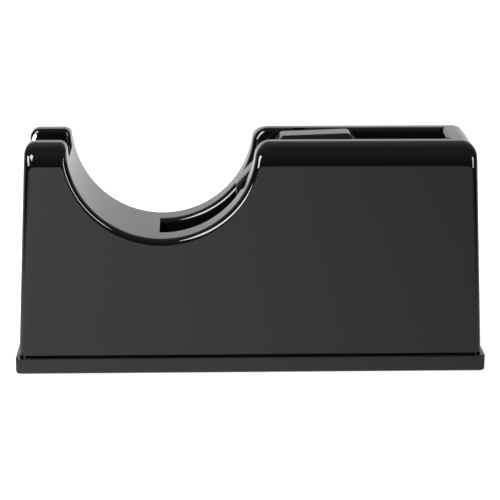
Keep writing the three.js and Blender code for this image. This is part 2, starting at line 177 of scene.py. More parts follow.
# ---------------------------------------------------------------------------
# finishes
# ---------------------------------------------------------------------------
@dataclass(frozen=True)
class Finish:
    """A surface finish: its colour, its sheen and the fine detail in both."""

    name: str
    slot: str
    color: tuple[float, float, float]
    color_far: tuple[float, float, float]
    roughness: float
    roughness_spread: float
    metallic: float = 0.0
    ior: float = 1.5
    mottle: float = 180.0
    grain: float = 900.0
    stretch: tuple[float, float, float] = (1.0, 1.0, 1.0)
    bump: float = 0.05
    bump_depth: float = 0.02 * MM
    scuffs: float = 0.0
    scuff_scale: float = 420.0
    scuff_stretch: tuple[float, float, float] = (1.0, 6.0, 14.0)
    scuff_limit: float = 0.69
    scuff_width: float = 0.05

    def build(self) -> bpy.types.Material:
        """Makes the node material.

        Returns:
            The material, made once and used again.
        """
        known = bpy.data.materials.get(self.name)
        if known:
            return known
        material = bpy.data.materials.new(self.name)
        material.use_nodes = True
        shader = ShaderTree(material.node_tree)
        mottle = shader.noise(self.mottle, 4.0)
        grain = shader.noise(self.grain, 2.0, self.stretch)
        roughness = self.roughness + (mottle - 0.5) * self.roughness_spread
        if self.scuffs:
            hairs = shader.noise(self.scuff_scale, 6.0, self.scuff_stretch)
            roughness = roughness + hairs.above(self.scuff_limit, self.scuff_width) * self.scuffs
        normal = shader.node(
            "ShaderNodeBump",
            values={"Strength": self.bump, "Distance": self.bump_depth, "Height": grain},
            out="Normal",
        )
        surface = shader.node(
            "ShaderNodeBsdfPrincipled",
            values={
                "Base Color": shader.blend(mottle, self.color, self.color_far),
                "Roughness": roughness,
                "Metallic": self.metallic,
                "IOR": self.ior,
                "Normal": normal,
            },
        )
        shader.node("ShaderNodeOutputMaterial", values={"Surface": surface})
        return material

    def dress(self, obj: bpy.types.Object) -> None:
        """Gives an object this finish alone."""
        obj.data.materials.clear()
        obj.data.materials.append(self.build())


class Finishes(Enum):
    """The finishes that the dispenser is made in."""

    CASING = Finish(
        "gloss_black_casing", "casing_plastic", (0.0016, 0.0016, 0.0018), (0.0023, 0.0023, 0.0025),
        0.055, 0.02, mottle=60.0, grain=260.0, bump=0.04, bump_depth=0.006 * MM, scuffs=0.05,
    )
    BASE = Finish(
        "gloss_black_base", "base_plastic", (0.0020, 0.0020, 0.0022), (0.0028, 0.0028, 0.0030),
        0.075, 0.03, mottle=80.0, grain=320.0, bump=0.05, bump_depth=0.008 * MM, scuffs=0.06,
    )
    HUB = Finish(
        "black_hub_moulding", "hub_plastic", (0.006, 0.006, 0.0064), (0.009, 0.009, 0.0095),
        0.16, 0.05, mottle=120.0, grain=700.0, bump=0.08, bump_depth=0.01 * MM, scuffs=0.08,
    )
    CARRIER = Finish(
        "satin_black_carrier", "carrier_plastic", (0.009, 0.009, 0.0095), (0.013, 0.013, 0.0135),
        0.38, 0.08, mottle=200.0, grain=2600.0, bump=0.25, bump_depth=0.015 * MM,
    )
    BLADE = Finish(
        "bright_blade_steel", "blade_steel", (0.72, 0.73, 0.75), (0.62, 0.63, 0.65),
        0.2, 0.08, metallic=1.0, mottle=260.0, grain=1500.0, stretch=(12.0, 0.6, 1.0),
        bump=0.12, bump_depth=0.01 * MM,
    )
    SCREW = Finish(
        "zinc_screw_steel", "screw_steel", (0.55, 0.56, 0.58), (0.42, 0.42, 0.43),
        0.32, 0.12, metallic=1.0, mottle=900.0, grain=3000.0, bump=0.1, bump_depth=0.01 * MM,
    )
    IRON = Finish(
        "rough_cast_iron", "ballast_iron", (0.06, 0.06, 0.062), (0.035, 0.034, 0.034),
        0.62, 0.2, metallic=0.7, mottle=220.0, grain=1400.0, bump=0.5, bump_depth=0.12 * MM,
    )
    RUBBER = Finish(
        "matt_black_rubber", "foot_rubber", (0.014, 0.014, 0.014), (0.022, 0.022, 0.021),
        0.82, 0.1, mottle=400.0, grain=4000.0, bump=0.3, bump_depth=0.03 * MM,
    )


# ---------------------------------------------------------------------------
# mesh tools
# ---------------------------------------------------------------------------
def link(name: str, bm: bmesh.types.BMesh) -> bpy.types.Object:
    """Turns a bmesh into an object.

    Args:
        name: the object's name.
        bm: the mesh in work, which is freed.

    Returns:
        The object, at the origin.
    """
    bmesh.ops.recalc_face_normals(bm, faces=bm.faces)
    mesh = bpy.data.meshes.new(name)
    bm.to_mesh(mesh)
    bm.free()
    obj = bpy.data.objects.new(name, mesh)
    bpy.context.scene.collection.objects.link(obj)
    return obj


@contextmanager
def edited(obj: bpy.types.Object) -> Iterator[bmesh.types.BMesh]:
    """Opens an object's mesh for bmesh work and writes it back.

    Args:
        obj: the object.

    Yields:
        Its mesh in work.
    """
    bm = bmesh.new()
    bm.from_mesh(obj.data)
    yield bm
    bm.to_mesh(obj.data)
    bm.free()


def loosened(obj: bpy.types.Object) -> bmesh.types.BMesh:
    """Takes the mesh of a scratch object and removes the object.

    Args:
        obj: the object, which goes.

    Returns:
        Its mesh in work.
    """
    bm = bmesh.new()
    bm.from_mesh(obj.data)
    bpy.data.meshes.remove(obj.data)
    return bm


def block(
    low: Sequence[float], high: Sequence[float], bevel: float = 0.0, segments: int = 3,
) -> bmesh.types.BMesh:
    """A block between two corners.

    Args:
        low: its lowest corner.
        high: its highest corner.
        bevel: radius on all its edges, or 0.
        segments: steps in the bevel.

    Returns:
        The mesh.
    """
    bm = bmesh.new()
    made = bmesh.ops.create_cube(bm, size=1.0)
    low, high = Vector(low), Vector(high)
    bmesh.ops.scale(bm, vec=high - low, verts=made["verts"])
    bmesh.ops.translate(bm, vec=(low + high) / 2, verts=made["verts"])
    if bevel:
        round_edges(bm, bm.edges[:], bevel, segments)
    return bm


def round_edges(
    bm: bmesh.types.BMesh, edges: Iterable[bmesh.types.BMEdge], radius: float, segments: int,
) -> None:
    """Rounds edges of a mesh in work.

    Args:
        bm: the mesh.
        edges: the edges to round.
        radius: the rounding.
        segments: steps in the rounding.
    """
    bmesh.ops.bevel(
        bm, geom=list(edges), offset=radius, segments=segments, profile=0.5, affect="EDGES", material=-1,
    )


def rod(radius: float, low: float, high: float, sides: int = 48) -> bmesh.types.BMesh:
    """A round bar along Z.

    Args:
        radius: its radius.
        low: its lower end.
        high: its upper end.
        sides: facets around it.

    Returns:
        The mesh.
    """
    bm = bmesh.new()
    bmesh.ops.create_cone(
        bm, cap_ends=True, segments=sides, radius1=radius, radius2=radius, depth=high - low,
    )
    bmesh.ops.translate(bm, vec=(0, 0, (low + high) / 2), verts=bm.verts)
    return bm


def plate(points: Sequence[Vector], low: float, high: float) -> bmesh.types.BMesh:
    """A flat outline in X and Z, pushed out along Y.

    Args:
        points: the outline's corners, with x and z in the first two numbers.
        low: where it starts in Y.
        high: where it ends in Y.

    Returns:
        The mesh.
    """
    bm = bmesh.new()
    corners = [bm.verts.new((p[0], low, p[1])) for p in points]
    face = bm.faces.new(corners)
    pushed = bmesh.ops.extrude_face_region(bm, geom=[face])
    moved = [item for item in pushed["geom"] if isinstance(item, bmesh.types.BMVert)]
    bmesh.ops.translate(bm, vec=(0, high - low, 0), verts=moved)
    return bm


def turned(profile: Sequence[tuple[float, float]], steps: int = 48) -> bmesh.types.BMesh:
    """A profile spun about Z.

    Args:
        profile: (radius, height) points from the axis back to it.
        steps: facets around it.

    Returns:
        The closed mesh.
    """
    bm = bmesh.new()
    points = [bm.verts.new((radius, 0, height)) for radius, height in profile]
    edges = [bm.edges.new(pair) for pair in zip(points, points[1:])]
    bmesh.ops.spin(
        bm, geom=points + edges, axis=(0, 0, 1), cent=(0, 0, 0), angle=2 * math.pi, steps=steps,
        use_merge=True,
    )
    bmesh.ops.remove_doubles(bm, verts=bm.verts, dist=1e-7)
    return bm


def place(bm: bmesh.types.BMesh, spot: Sequence[float], turn: Euler | None = None) -> bmesh.types.BMesh:
    """Turns a mesh about the origin and moves it to a spot.

    Args:
        bm: the mesh in work.
        spot: where its origin goes.
        turn: how it is turned first.

    Returns:
        The same mesh.
    """
    if turn:
        bmesh.ops.rotate(bm, cent=(0, 0, 0), matrix=turn.to_matrix(), verts=bm.verts)
    bmesh.ops.translate(bm, vec=spot, verts=bm.verts)
    return bm


def trim(bm: bmesh.types.BMesh, spot: Sequence[float], away: Sequence[float]) -> bmesh.types.BMesh:
    """Cuts off the part of a closed mesh beyond a plane and closes it again.

    Args:
        bm: the mesh in work.
        spot: a point of the plane.
        away: the plane's normal, towards the part that goes.

    Returns:
        The same mesh.
    """
    bmesh.ops.bisect_plane(
        bm, geom=bm.verts[:] + bm.edges[:] + bm.faces[:], plane_co=spot, plane_no=away, clear_outer=True,
    )
    bmesh.ops.holes_fill(bm, edges=bm.edges[:], sides=0)
    return bm


def carve(
    body: bpy.types.Object,
    cut: Sequence[bmesh.types.BMesh] = (),
    add: Sequence[bmesh.types.BMesh] = (),
) -> bpy.types.Object:
    """Joins meshes to a body, then cuts others from it.

    Args:
        body: the object that stays.
        cut: closed meshes taken away.
        add: closed meshes joined on.

    Returns:
        The same object with its new mesh.
    """
    tools = [(link("joined", bm), "UNION") for bm in add] + [(link("cutter", bm), "DIFFERENCE") for bm in cut]
    for tool, operation in tools:
        step = body.modifiers.new("step", "BOOLEAN")
        step.operation = operation
        step.solver = "MANIFOLD"
        step.object = tool
    bpy.context.view_layer.update()
    graph = bpy.context.evaluated_depsgraph_get()
    old, mesh = body.data, bpy.data.meshes.new_from_object(body.evaluated_get(graph))
    body.modifiers.clear()
    body.data = mesh
    bpy.data.meshes.remove(old)
    for tool, _ in tools:
        bpy.data.meshes.remove(tool.data)
    return body


def smooth(obj: bpy.types.Object, angle: float = 32.0, weighted: bool = True) -> None:
    """Shades an object smooth.

    Args:
        obj: the object.
        angle: edges sharper than this, in degrees, stay sharp.
        weighted: whether large faces set the shading of their corners.
    """
    obj.data.shade_smooth()
    obj.data.set_sharp_from_angle(angle=math.radians(angle))
    if weighted:
        even = obj.modifiers.new("even_normals", "WEIGHTED_NORMAL")
        even.keep_sharp = True
        even.weight = 80


def deliver(obj: bpy.types.Object, finish: Finishes, body: str, *nodes: str) -> None:
    """Dresses a finished piece and ties it to the frame.

    Args:
        obj: the piece.
        finish: its finish.
        body: the body that it rides on.
        nodes: the frame's nodes that it stands for.
    """
    finish.value.dress(obj)
    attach(obj, body)
    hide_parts(*nodes)
    LOG.info("%s: %d faces, %s", obj.name, len(obj.data.polygons), finish.value.name)


def arc(centre: Vector, radius: float, start: float, end: float, steps: int) -> list[Vector]:
    """Points along an arc.

    Args:
        centre: the arc's centre, as a 2D vector.
        radius: its radius.
        start: its first angle.
        end: its last angle.
        steps: how many steps it has.

    Returns:
        steps + 1 points.
    """
    angles = [start + (end - start) * i / steps for i in range(steps + 1)]
    return [centre + radius * Vector((math.cos(a), math.sin(a))) for a in angles]


# ---------------------------------------------------------------------------
# the frame's own sizes
# ---------------------------------------------------------------------------
def between(points: Sequence[Vector], first: Vector, last: Vector) -> list[Vector]:
    """The part of a closed line between two places on it.

    Args:
        points: the line's corners.
        first: where the part starts.
        last: where it ends.

    Returns:
        Its points, with both ends.
    """
    count = len(points)

    def reach(spot: Vector) -> float:
        """How many corners along the line a spot is."""
        best = (math.inf, 0.0)
        for i, a in enumerate(points):
            along = points[(i + 1) % count] - a
            if along.length_squared:
                share = min(max((spot - a).dot(along) / along.length_squared, 0.0), 1.0)
                best = min(best, ((spot - a - along * share).length, i + share))
        return best[1]

    start, end = reach(first), reach(last)
    run = [first, *points[math.floor(start) + 1: math.floor(end) + 1], last]
    return [p for i, p in enumerate(run) if i == 0 or (p - run[i - 1]).length > SAME]


def evenly(points: Sequence[Vector], steps: int) -> list[Vector]:
    """A line cut into steps of one length.

    Args:
        points: the line's corners.
        steps: how many steps.

    Returns:
        steps + 1 points.
    """
    sizes = [(b - a).length for a, b in zip(points, points[1:])]
    reached = [sum(sizes[:i]) for i in range(len(points))]
    made = []
    for i in range(steps + 1):
        goal = reached[-1] * i / steps
        at = max(k for k in range(len(sizes)) if reached[k] <= goal + SAME or k == 0)
        made.append(points[at].lerp(points[at + 1], min((goal - reached[at]) / sizes[at], 1.0)))
    return made


def low(node: str) -> Vector:
    """The lowest corner of a CAD node."""
    return Vector(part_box(node)[0])


def high(node: str) -> Vector:
    """The highest corner of a CAD node."""
    return Vector(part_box(node)[1])


def centre(node: str) -> Vector:
    """The middle of a CAD node."""
    return (low(node) + high(node)) / 2


@dataclass
class Station:
    """One place round the outline: its outermost point, the face's edge beside it, and the depth."""

    outer: Vector
    face: Vector
    depth: float


@dataclass
class SideOutline:
    """The casing's side outline, with ears, a round hollow and a block, and the way its edges are rounded."""

    inset: float = 0.0
    bottom: float = 0.0
    shoulder: float = 9.7 * MM
    end_edge: float = 3.0 * MM
    hollow_edge: float = 2.8 * MM
    face_corner: float = 1.6 * MM
    least_edge: float = 0.4 * MM
    tower_length: float = 17.2 * MM
    hollow_radius: float = 39.35 * MM
    hollow_drop: float = 0.8 * MM
    ear_outer: float = 3.9 * MM
    ear_inner: float = 3.2 * MM
    block_inner: float = 6.7 * MM
    block_outer: float = 5.5 * MM
    end_draft: float = 4.5 * MM
    side_draft: float = 0.2 * MM
    corner_steps: int = 24
    hollow_steps: int = 110
    stations: list[Station] = field(default_factory=list)

    def __post_init__(self) -> None:
        """Works out the outline from the frame."""
        self.top = high("body_shell").z
        self.foot_z = low("body_shell").z
        self.foot_half = high("body_shell").x
        self.side_half = high("body_shell").y
        self.slope = self.end_draft / (self.top - self.foot_z)
        self.tilt = math.atan(self.slope)
        top_half = self.foot_half - self.end_draft
        hollow_x = -top_half + self.tower_length + self.hollow_radius
        self.hollow = Vector((hollow_x, self.top - self.hollow_drop))
        self.stations = self._walk()

    def end_at(self, z: float) -> float:
        """Half the casing's length at a height."""
        return self.foot_half - self.slope * (z - self.foot_z)

    def side_at(self, z: float) -> float:
        """Half the casing's width at a height."""
        return self.side_half - self.side_draft * (z - self.foot_z) / (self.top - self.foot_z) - self.inset

    def _loop(self, drop: float, draw: float, sink: float, radii: Sequence[float]) -> list[list[Vector]]:
        """The outline in six stretches.

        Args:
            drop: how far the top comes down.
            draw: how far the two ends draw in.
            sink: how far the hollow's surface sinks.
            radii: the four corner radii: block outer, block inner, ear inner, ear outer.

        Returns:
            Points of the foot, the block's outer corner, its inner corner, the hollow, the ear's inner
            corner and its outer corner.
        """
        top = self.top - drop
        steps = self.corner_steps
        hollow = self.hollow_radius + sink

        def end_centre(radius: float) -> float:
            """How far out the centre of an outer corner lies."""
            return self.end_at(top - radius) - draw - radius / math.cos(self.tilt)

        def rolled(radius: float, side: int) -> tuple[Vector, float]:
            """The centre of a corner that runs into the hollow, and the angle where it does."""
            z = top - radius
            rise = self.hollow.y - z
            x = self.hollow.x + side * math.sqrt((hollow + radius) ** 2 - rise**2)
            return Vector((x, z)), math.atan2(rise, self.hollow.x - x)

        block_spot, block_turn = rolled(radii[1], 1)
        ear_spot, ear_turn = rolled(radii[2], -1)
        right = Vector((end_centre(radii[0]), top - radii[0]))
        left = Vector((-end_centre(radii[3]), top - radii[3]))
        foot = self.end_at(self.bottom) - draw
        up = math.pi / 2
        return [
            [Vector((-foot, self.bottom)), Vector((foot, self.bottom))],
            arc(right, radii[0], self.tilt, up, steps),
            arc(block_spot, radii[1], up, block_turn, steps),
            arc(self.hollow, hollow, block_turn - math.pi, ear_turn - math.pi, self.hollow_steps)[1:-1],
            arc(ear_spot, radii[2], ear_turn, up, steps),
            arc(left, radii[3], up, math.pi - self.tilt, steps),
        ]

    def _depth(self, z: float, edge: float, shoulder: float) -> float:
        """How far back the rounding reaches at a height.

        Args:
            z: the height on the outline.
            edge: the rounding's depth below the shoulder.
            shoulder: the shoulder's radius.

        Returns:
            The depth, which grows with the shoulder's own curve.
        """
        rise = min(max(z - (self.top - self.inset - shoulder), 0.0), shoulder)
        return min(shoulder, edge + shoulder - math.sqrt(shoulder**2 - rise**2))

    def _walk(self) -> list[Station]:
        """Pairs the outer outline with the edge of the flat face.

        Returns:
            The stations, counter-clockwise from the foot of the blade end.
        """
        shoulder, end, hollow = (max(size - self.inset, self.least_edge)
                                 for size in (self.shoulder, self.end_edge, self.hollow_edge))
        radii = [max(radius - self.inset, self.least_edge)
                 for radius in (self.block_outer, self.block_inner, self.ear_inner, self.ear_outer)]
        draws = (self.inset, self.inset + end)
        depths = (self.hollow_radius + self.inset, self.hollow_radius + self.inset + hollow)
        outer = self._loop(self.inset, draws[0], depths[0] - self.hollow_radius, radii)
        face = self._loop(
            self.inset + shoulder, draws[1], depths[1] - self.hollow_radius, [self.face_corner] * len(radii),
        )
        lines = [[spot for stretch in loop for spot in stretch] for loop in (outer, face)]

        def top_places(corner: int, at: int) -> list[Vector]:
            """Where a corner meets the flat top, straight above each other."""
            spots = [loop[corner][at] for loop in (outer, face)]
            x = (min if at else max)(spot.x for spot in spots)
            return [Vector((x, spot.y)) for spot in spots]

        def end_places(corner: int, at: int) -> list[Vector]:
            """Where a corner meets the end, straight beside each other."""
            z = min(loop[corner][at].y for loop in (outer, face))
            side = math.copysign(1, outer[corner][at].x)
            return [Vector((side * (self.end_at(z) - draw), z)) for draw in draws]

        def hollow_places(corner: int, at: int) -> list[Vector]:
            """Where a corner meets the hollow, in line with its centre."""
            ways = [(loop[corner][at] - self.hollow).normalized() for loop in (outer, face)]
            way = min(ways, key=lambda item: item.y)
            return [self.hollow + way * radius for radius in depths]

        def corner(first: list[Vector], last: list[Vector]) -> list[list[Vector]]:
            """The corner on the outer outline and on the face's edge, in even steps."""
            return [evenly(between(line, a, b), self.corner_steps)
                    for line, a, b in zip(lines, first, last)]

        block, ear = hollow_places(2, -1), hollow_places(4, 0)
        turns = [math.atan2(*(places[0] - self.hollow).yx) for places in (block, ear)]
        turns[1] -= 2 * math.pi if turns[1] > turns[0] else 0
        bowl = [arc(self.hollow, radius, *turns, self.hollow_steps)[1:-1] for radius in depths]
        stretches = [
            (end, (outer[0], face[0])),
            (end, corner(end_places(1, 0), top_places(1, -1))),
            (hollow, corner(top_places(2, 0), block)),
            (hollow, bowl),
            (hollow, corner(ear, top_places(4, -1))),
            (end, corner(top_places(5, 0), end_places(5, -1))),
        ]
        return [Station(a, b, self._depth(a.y, edge, shoulder))
                for edge, (first, second) in stretches for a, b in zip(first, second)]

    def solid(self, steps: int = 14) -> bmesh.types.BMesh:
        """Lofts the closed body across Y, from one flat face over its rounded edge to the other.

        Args:
            steps: steps in the rounded edge.

        Returns:
            The mesh.
        """
        bm = bmesh.new()
        turns = [math.pi / 2 * i / steps for i in range(steps + 1)]
        rings = [(turn, -1) for turn in turns] + [(turn, 1) for turn in reversed(turns)]
        verts = [bm.verts.new(self._spot(s, *rings[0])) for s in self.stations]
        edges = [bm.edges.new((a, b)) for a, b in zip(verts, verts[1:] + verts[:1])]
        bm.faces.new(verts)
        for turn, side in rings[1:]:
            grown = bmesh.ops.extrude_edge_only(bm, edges=edges)["geom"]
            edges = [item for item in grown if isinstance(item, bmesh.types.BMEdge)]
            fresh = [item for item in grown if isinstance(item, bmesh.types.BMVert)]
            for vert, station in zip(fresh, self.stations):
                vert.co = self._spot(station, turn, side)
            last = fresh
        bm.faces.new(last)
        return bm

    def _spot(self, station: Station, turn: float, side: int) -> tuple[float, float, float]:
        """A point of the rounded edge at one station.

        Args:
            station: the station.
            turn: how far round the edge, from the face at 0 to the outline at a quarter turn.
            side: -1 for the near side, 1 for the far one.

        Returns:
            The point.
        """
        flat = station.face + (station.outer - station.face) * math.sin(turn)
        y = self.side_at(flat.y) - station.depth * (1 - math.cos(turn))
        return flat.x, side * y, flat.y

    def run(self, first: Vector, last: Vector) -> list[Vector]:
        """Points of the outer outline between two places on it."""
        return between([station.outer for station in self.stations], first, last)


def flare_profile(radius: float, steps: int = 6) -> list[tuple[float, float]]:
    """The section of a cutter that rounds a rim.

    Args:
        radius: the rounding.
        steps: steps in the rounding.

    Returns:
        Points, as the distance from the wall and the height over the surface.
    """
    proud, slack, lip = 0.6 * MM, 0.15 * MM, radius * 1.06
    turns = [math.pi / 2 * i / steps for i in range(1, steps + 1)]
    curve = [(radius * (1 - math.sin(turn)), FLAT - radius * (1 - math.cos(turn))) for turn in turns]
    return [(-slack, proud), (lip, proud), (lip, FLAT), *curve, (-slack, -radius)]


def rim_flare(run: Sequence[Vector], wall: float, radius: float, side: int) -> bmesh.types.BMesh:
    """A cutter that rounds the edge between the outline's surface and a wall across it.

    Args:
        run: points along the outline.
        wall: the wall's distance from the middle plane.
        radius: the rounding.
        side: -1 for the near wall, 1 for the far one.

    Returns:
        The mesh.
    """
    bm = bmesh.new()
    rings = []
    for i, spot in enumerate(run):
        before, after = run[max(i - 1, 0)], run[min(i + 1, len(run) - 1)]
        along = ((spot - before).normalized() + (after - spot).normalized()).normalized()
        out = Vector((along.y, -along.x))
        places = [(wall + away, spot + out * rise) for away, rise in flare_profile(radius)]
        rings.append([bm.verts.new((flat.x, side * y, flat.y)) for y, flat in places])
    for ring in (rings[0], rings[-1]):
        bm.faces.new(ring)
    for ring, following in zip(rings, rings[1:]):
        edges = [bm.edges.get(pair) or bm.edges.new(pair) for loop in (ring, following)
                 for pair in zip(loop, loop[1:] + loop[:1])]
        bmesh.ops.bridge_loops(bm, edges=edges)
    return bm


@dataclass
class Casing:
    """The moulded casing with its well, ear gap, blade pocket and axle grooves."""

    wall: float = 2.4 * MM
    well_land: float = 11.2 * MM
    well_half: float = 10.15 * MM
    well_overlap: float = 1.2 * MM
    rim_round: float = 2.5 * MM
    ear_round: float = 2.0 * MM
    gap_depth: float = 7.5 * MM
    end_depth: float = 9.0 * MM
    pocket_depth: float = 16.5 * MM
    groove_half: float = 2.6 * MM
    groove_depth: float = 1.8 * MM
    groove_lean: float = 12.0
    pillar: float = 3.6 * MM
    pillar_height: float = 24 * MM
    base_shank: float = 1.4 * MM
    carrier_shank: float = 1.3 * MM
    soft_edge: float = 0.4 * MM
    soft_least: float = 4 * MM

    def groove(self, half: float, reach: float, top: float) -> bmesh.types.BMesh:
        """The bar that cuts both axle grooves: a round seat, and a slot that leans up to the rim.

        Args:
            half: half the groove's width.
            reach: how far it goes to each side of the middle plane.
            top: the height that the slot goes up to.

        Returns:
            The mesh.
        """
        hub = Vector((centre("core_hub").x, centre("core_hub").z))
        lean = math.radians(self.groove_lean)
        along = Vector((-math.sin(lean), math.cos(lean))) * (top - hub.y) / math.cos(lean)
        seat = arc(hub, half, math.pi + lean, 2 * math.pi + lean, 24)
        return plate([*seat, seat[-1] + along, seat[0] + along], -reach, reach)

    def build(self) -> bpy.types.Object:
        """Makes the casing.

        Returns:
            The finished piece.
        """
        side = SideOutline(bottom=low("body_shell").z)
        top, half, far_left = side.top, self.well_half, -2 * side.foot_half
        left, right = side.hollow.x - self.well_overlap, side.foot_half - side.end_draft - self.well_land
        pocket_floor = top - self.pocket_depth
        pocket_left = -side.end_at(pocket_floor) + self.wall
        shell = link("casing", side.solid())
        voids = [
            self._room(side, left, right),
            block((left, -half, 0), (right, half, top + OVER)),
            block((far_left, -half, top - self.gap_depth), (side.hollow.x, half, top + OVER)),
            block((far_left, -half, top - self.end_depth), (pocket_left + self.wall, half, top + OVER)),
            self._pocket(side, pocket_left, pocket_floor),
            self.groove(self.groove_half, half + self.groove_depth, top + OVER),
        ]
        voids += [self._screw_hole(f"base_screw_{i}", self.base_shank) for i in range(1, 5)]
        voids += [self._screw_hole(f"carrier_screw_{i}", self.carrier_shank) for i in (1, 2)]
        carve(shell, voids + self._flares(side, left, right))
        self._soften(shell, (top - self.gap_depth, top - self.end_depth))
        smooth(shell)
        deliver(shell, Finishes.CASING, "casing", "body_shell")
        return shell

    def _room(self, side: SideOutline, left: float, right: float) -> bmesh.types.BMesh:
        """The room inside the casing, round the well, the pocket, the grooves and the screw posts.

        Args:
            side: the casing's outline.
            left: where the well starts.
            right: where the well ends.

        Returns:
            The mesh.
        """
        foot, top, thick = side.bottom, side.top, self.well_half + self.wall
        inner = SideOutline(bottom=foot - OVER, inset=self.wall, corner_steps=10, hollow_steps=48)
        posts = [centre(f"base_screw_{i}") for i in range(1, 5)]
        return loosened(carve(link("room", inner.solid(4)), [
            block((left - self.wall, -thick, 0), (right + self.wall, thick, top)),
            block((-2 * side.foot_half, -thick, top - self.pocket_depth - self.wall),
                  (side.hollow.x, thick, top)),
            self.groove(self.groove_half + self.wall, self.well_half + self.groove_depth + self.wall, top),
            *[place(rod(self.pillar, -OVER, foot + self.pillar_height), (p.x, p.y, 0)) for p in posts],
        ]))

    def _pocket(self, side: SideOutline, left: float, floor: float) -> bmesh.types.BMesh:
        """The pocket between the ears that holds the blade and its carrier.

        Args:
            side: the casing's outline.
            left: where the pocket starts.
            floor: the height of its floor.

        Returns:
            The mesh.
        """
        half = self.well_half
        drum = rod(side.hollow_radius + self.wall, -OVER * 4, OVER * 4, 128)
        place(drum, (side.hollow.x, 0, side.hollow.y), Euler((math.pi / 2, 0, 0)))
        room = block((left, -half, floor), (side.hollow.x, half, side.top + OVER))
        return loosened(carve(link("pocket", room), [drum]))

    @staticmethod
    def _screw_hole(node: str, shank: float) -> bmesh.types.BMesh:
        """The clearance hole round a screw's shank.

        Args:
            node: the screw.
            shank: its shank's radius.

        Returns:
            The mesh.
        """
        spot = centre(node)
        return place(rod(shank + GAP, low(node).z - OVER, high(node).z + GAP, 24), (spot.x, spot.y, 0))

    def _flares(self, side: SideOutline, left: float, right: float) -> list[bmesh.types.BMesh]:
        """The cutters that round the rims of the well and of the ear gap.

        Args:
            side: the casing's outline.
            left: where the well starts.
            right: where the well ends.

        Returns:
            The meshes.
        """
        top, half = side.top, self.well_half
        well_start = Vector((left, side.hollow.y - math.sqrt(side.hollow_radius**2 - self.well_overlap**2)))
        well = side.run(Vector((right + self.rim_round, top)), well_start)
        gap_z, end_z = top - self.gap_depth, top - self.end_depth
        drop = side.hollow.y - gap_z
        notch = Vector((side.hollow.x - math.sqrt(side.hollow_radius**2 - drop**2), gap_z))
        ear = side.run(notch, Vector((-side.end_at(end_z), end_z)))
        cutters = []
        end = self._end_flare(right, half, top)
        for way in (-1, 1):
            flare = rim_flare(well, half, self.rim_round, way)
            cutters.append(trim(flare, (right, way * half, top), (1, -way, 0)))
            cutters.append(rim_flare(ear, half, self.ear_round, way))
            trim(end, (right, way * half, top), (-1, way, 0))
        cutters.append(end)
        return cutters

    def _end_flare(self, x: float, half: float, top: float) -> bmesh.types.BMesh:
        """The cutter that rounds the well's rim at the roll end.

        Args:
            x: where the well ends.
            half: half the well's width.
            top: the height of the rim.

        Returns:
            The mesh.
        """
        section = [Vector((x + away, top + rise)) for away, rise in flare_profile(self.rim_round)]
        return plate(section, -half - 2 * self.rim_round, half + 2 * self.rim_round)

    def _soften(self, shell: bpy.types.Object, steps: Sequence[float]) -> None:
        """Breaks the straight edges across the ear gap.

        Args:
            shell: the casing.
            steps: the heights of the gap's floors.
        """
        with edited(shell) as bm:
            edges = [
                e for e in bm.edges
                if len(e.link_faces) == 2
                and e.calc_face_angle(0) > math.radians(40)
                and all(min(abs(v.co.z - z) for z in steps) < FLAT for v in e.verts)
                and abs(e.verts[0].co.x - e.verts[1].co.x) < FLAT
                and e.calc_length() > self.soft_least
            ]
            if edges:
                round_edges(bm, edges, self.soft_edge, 3)


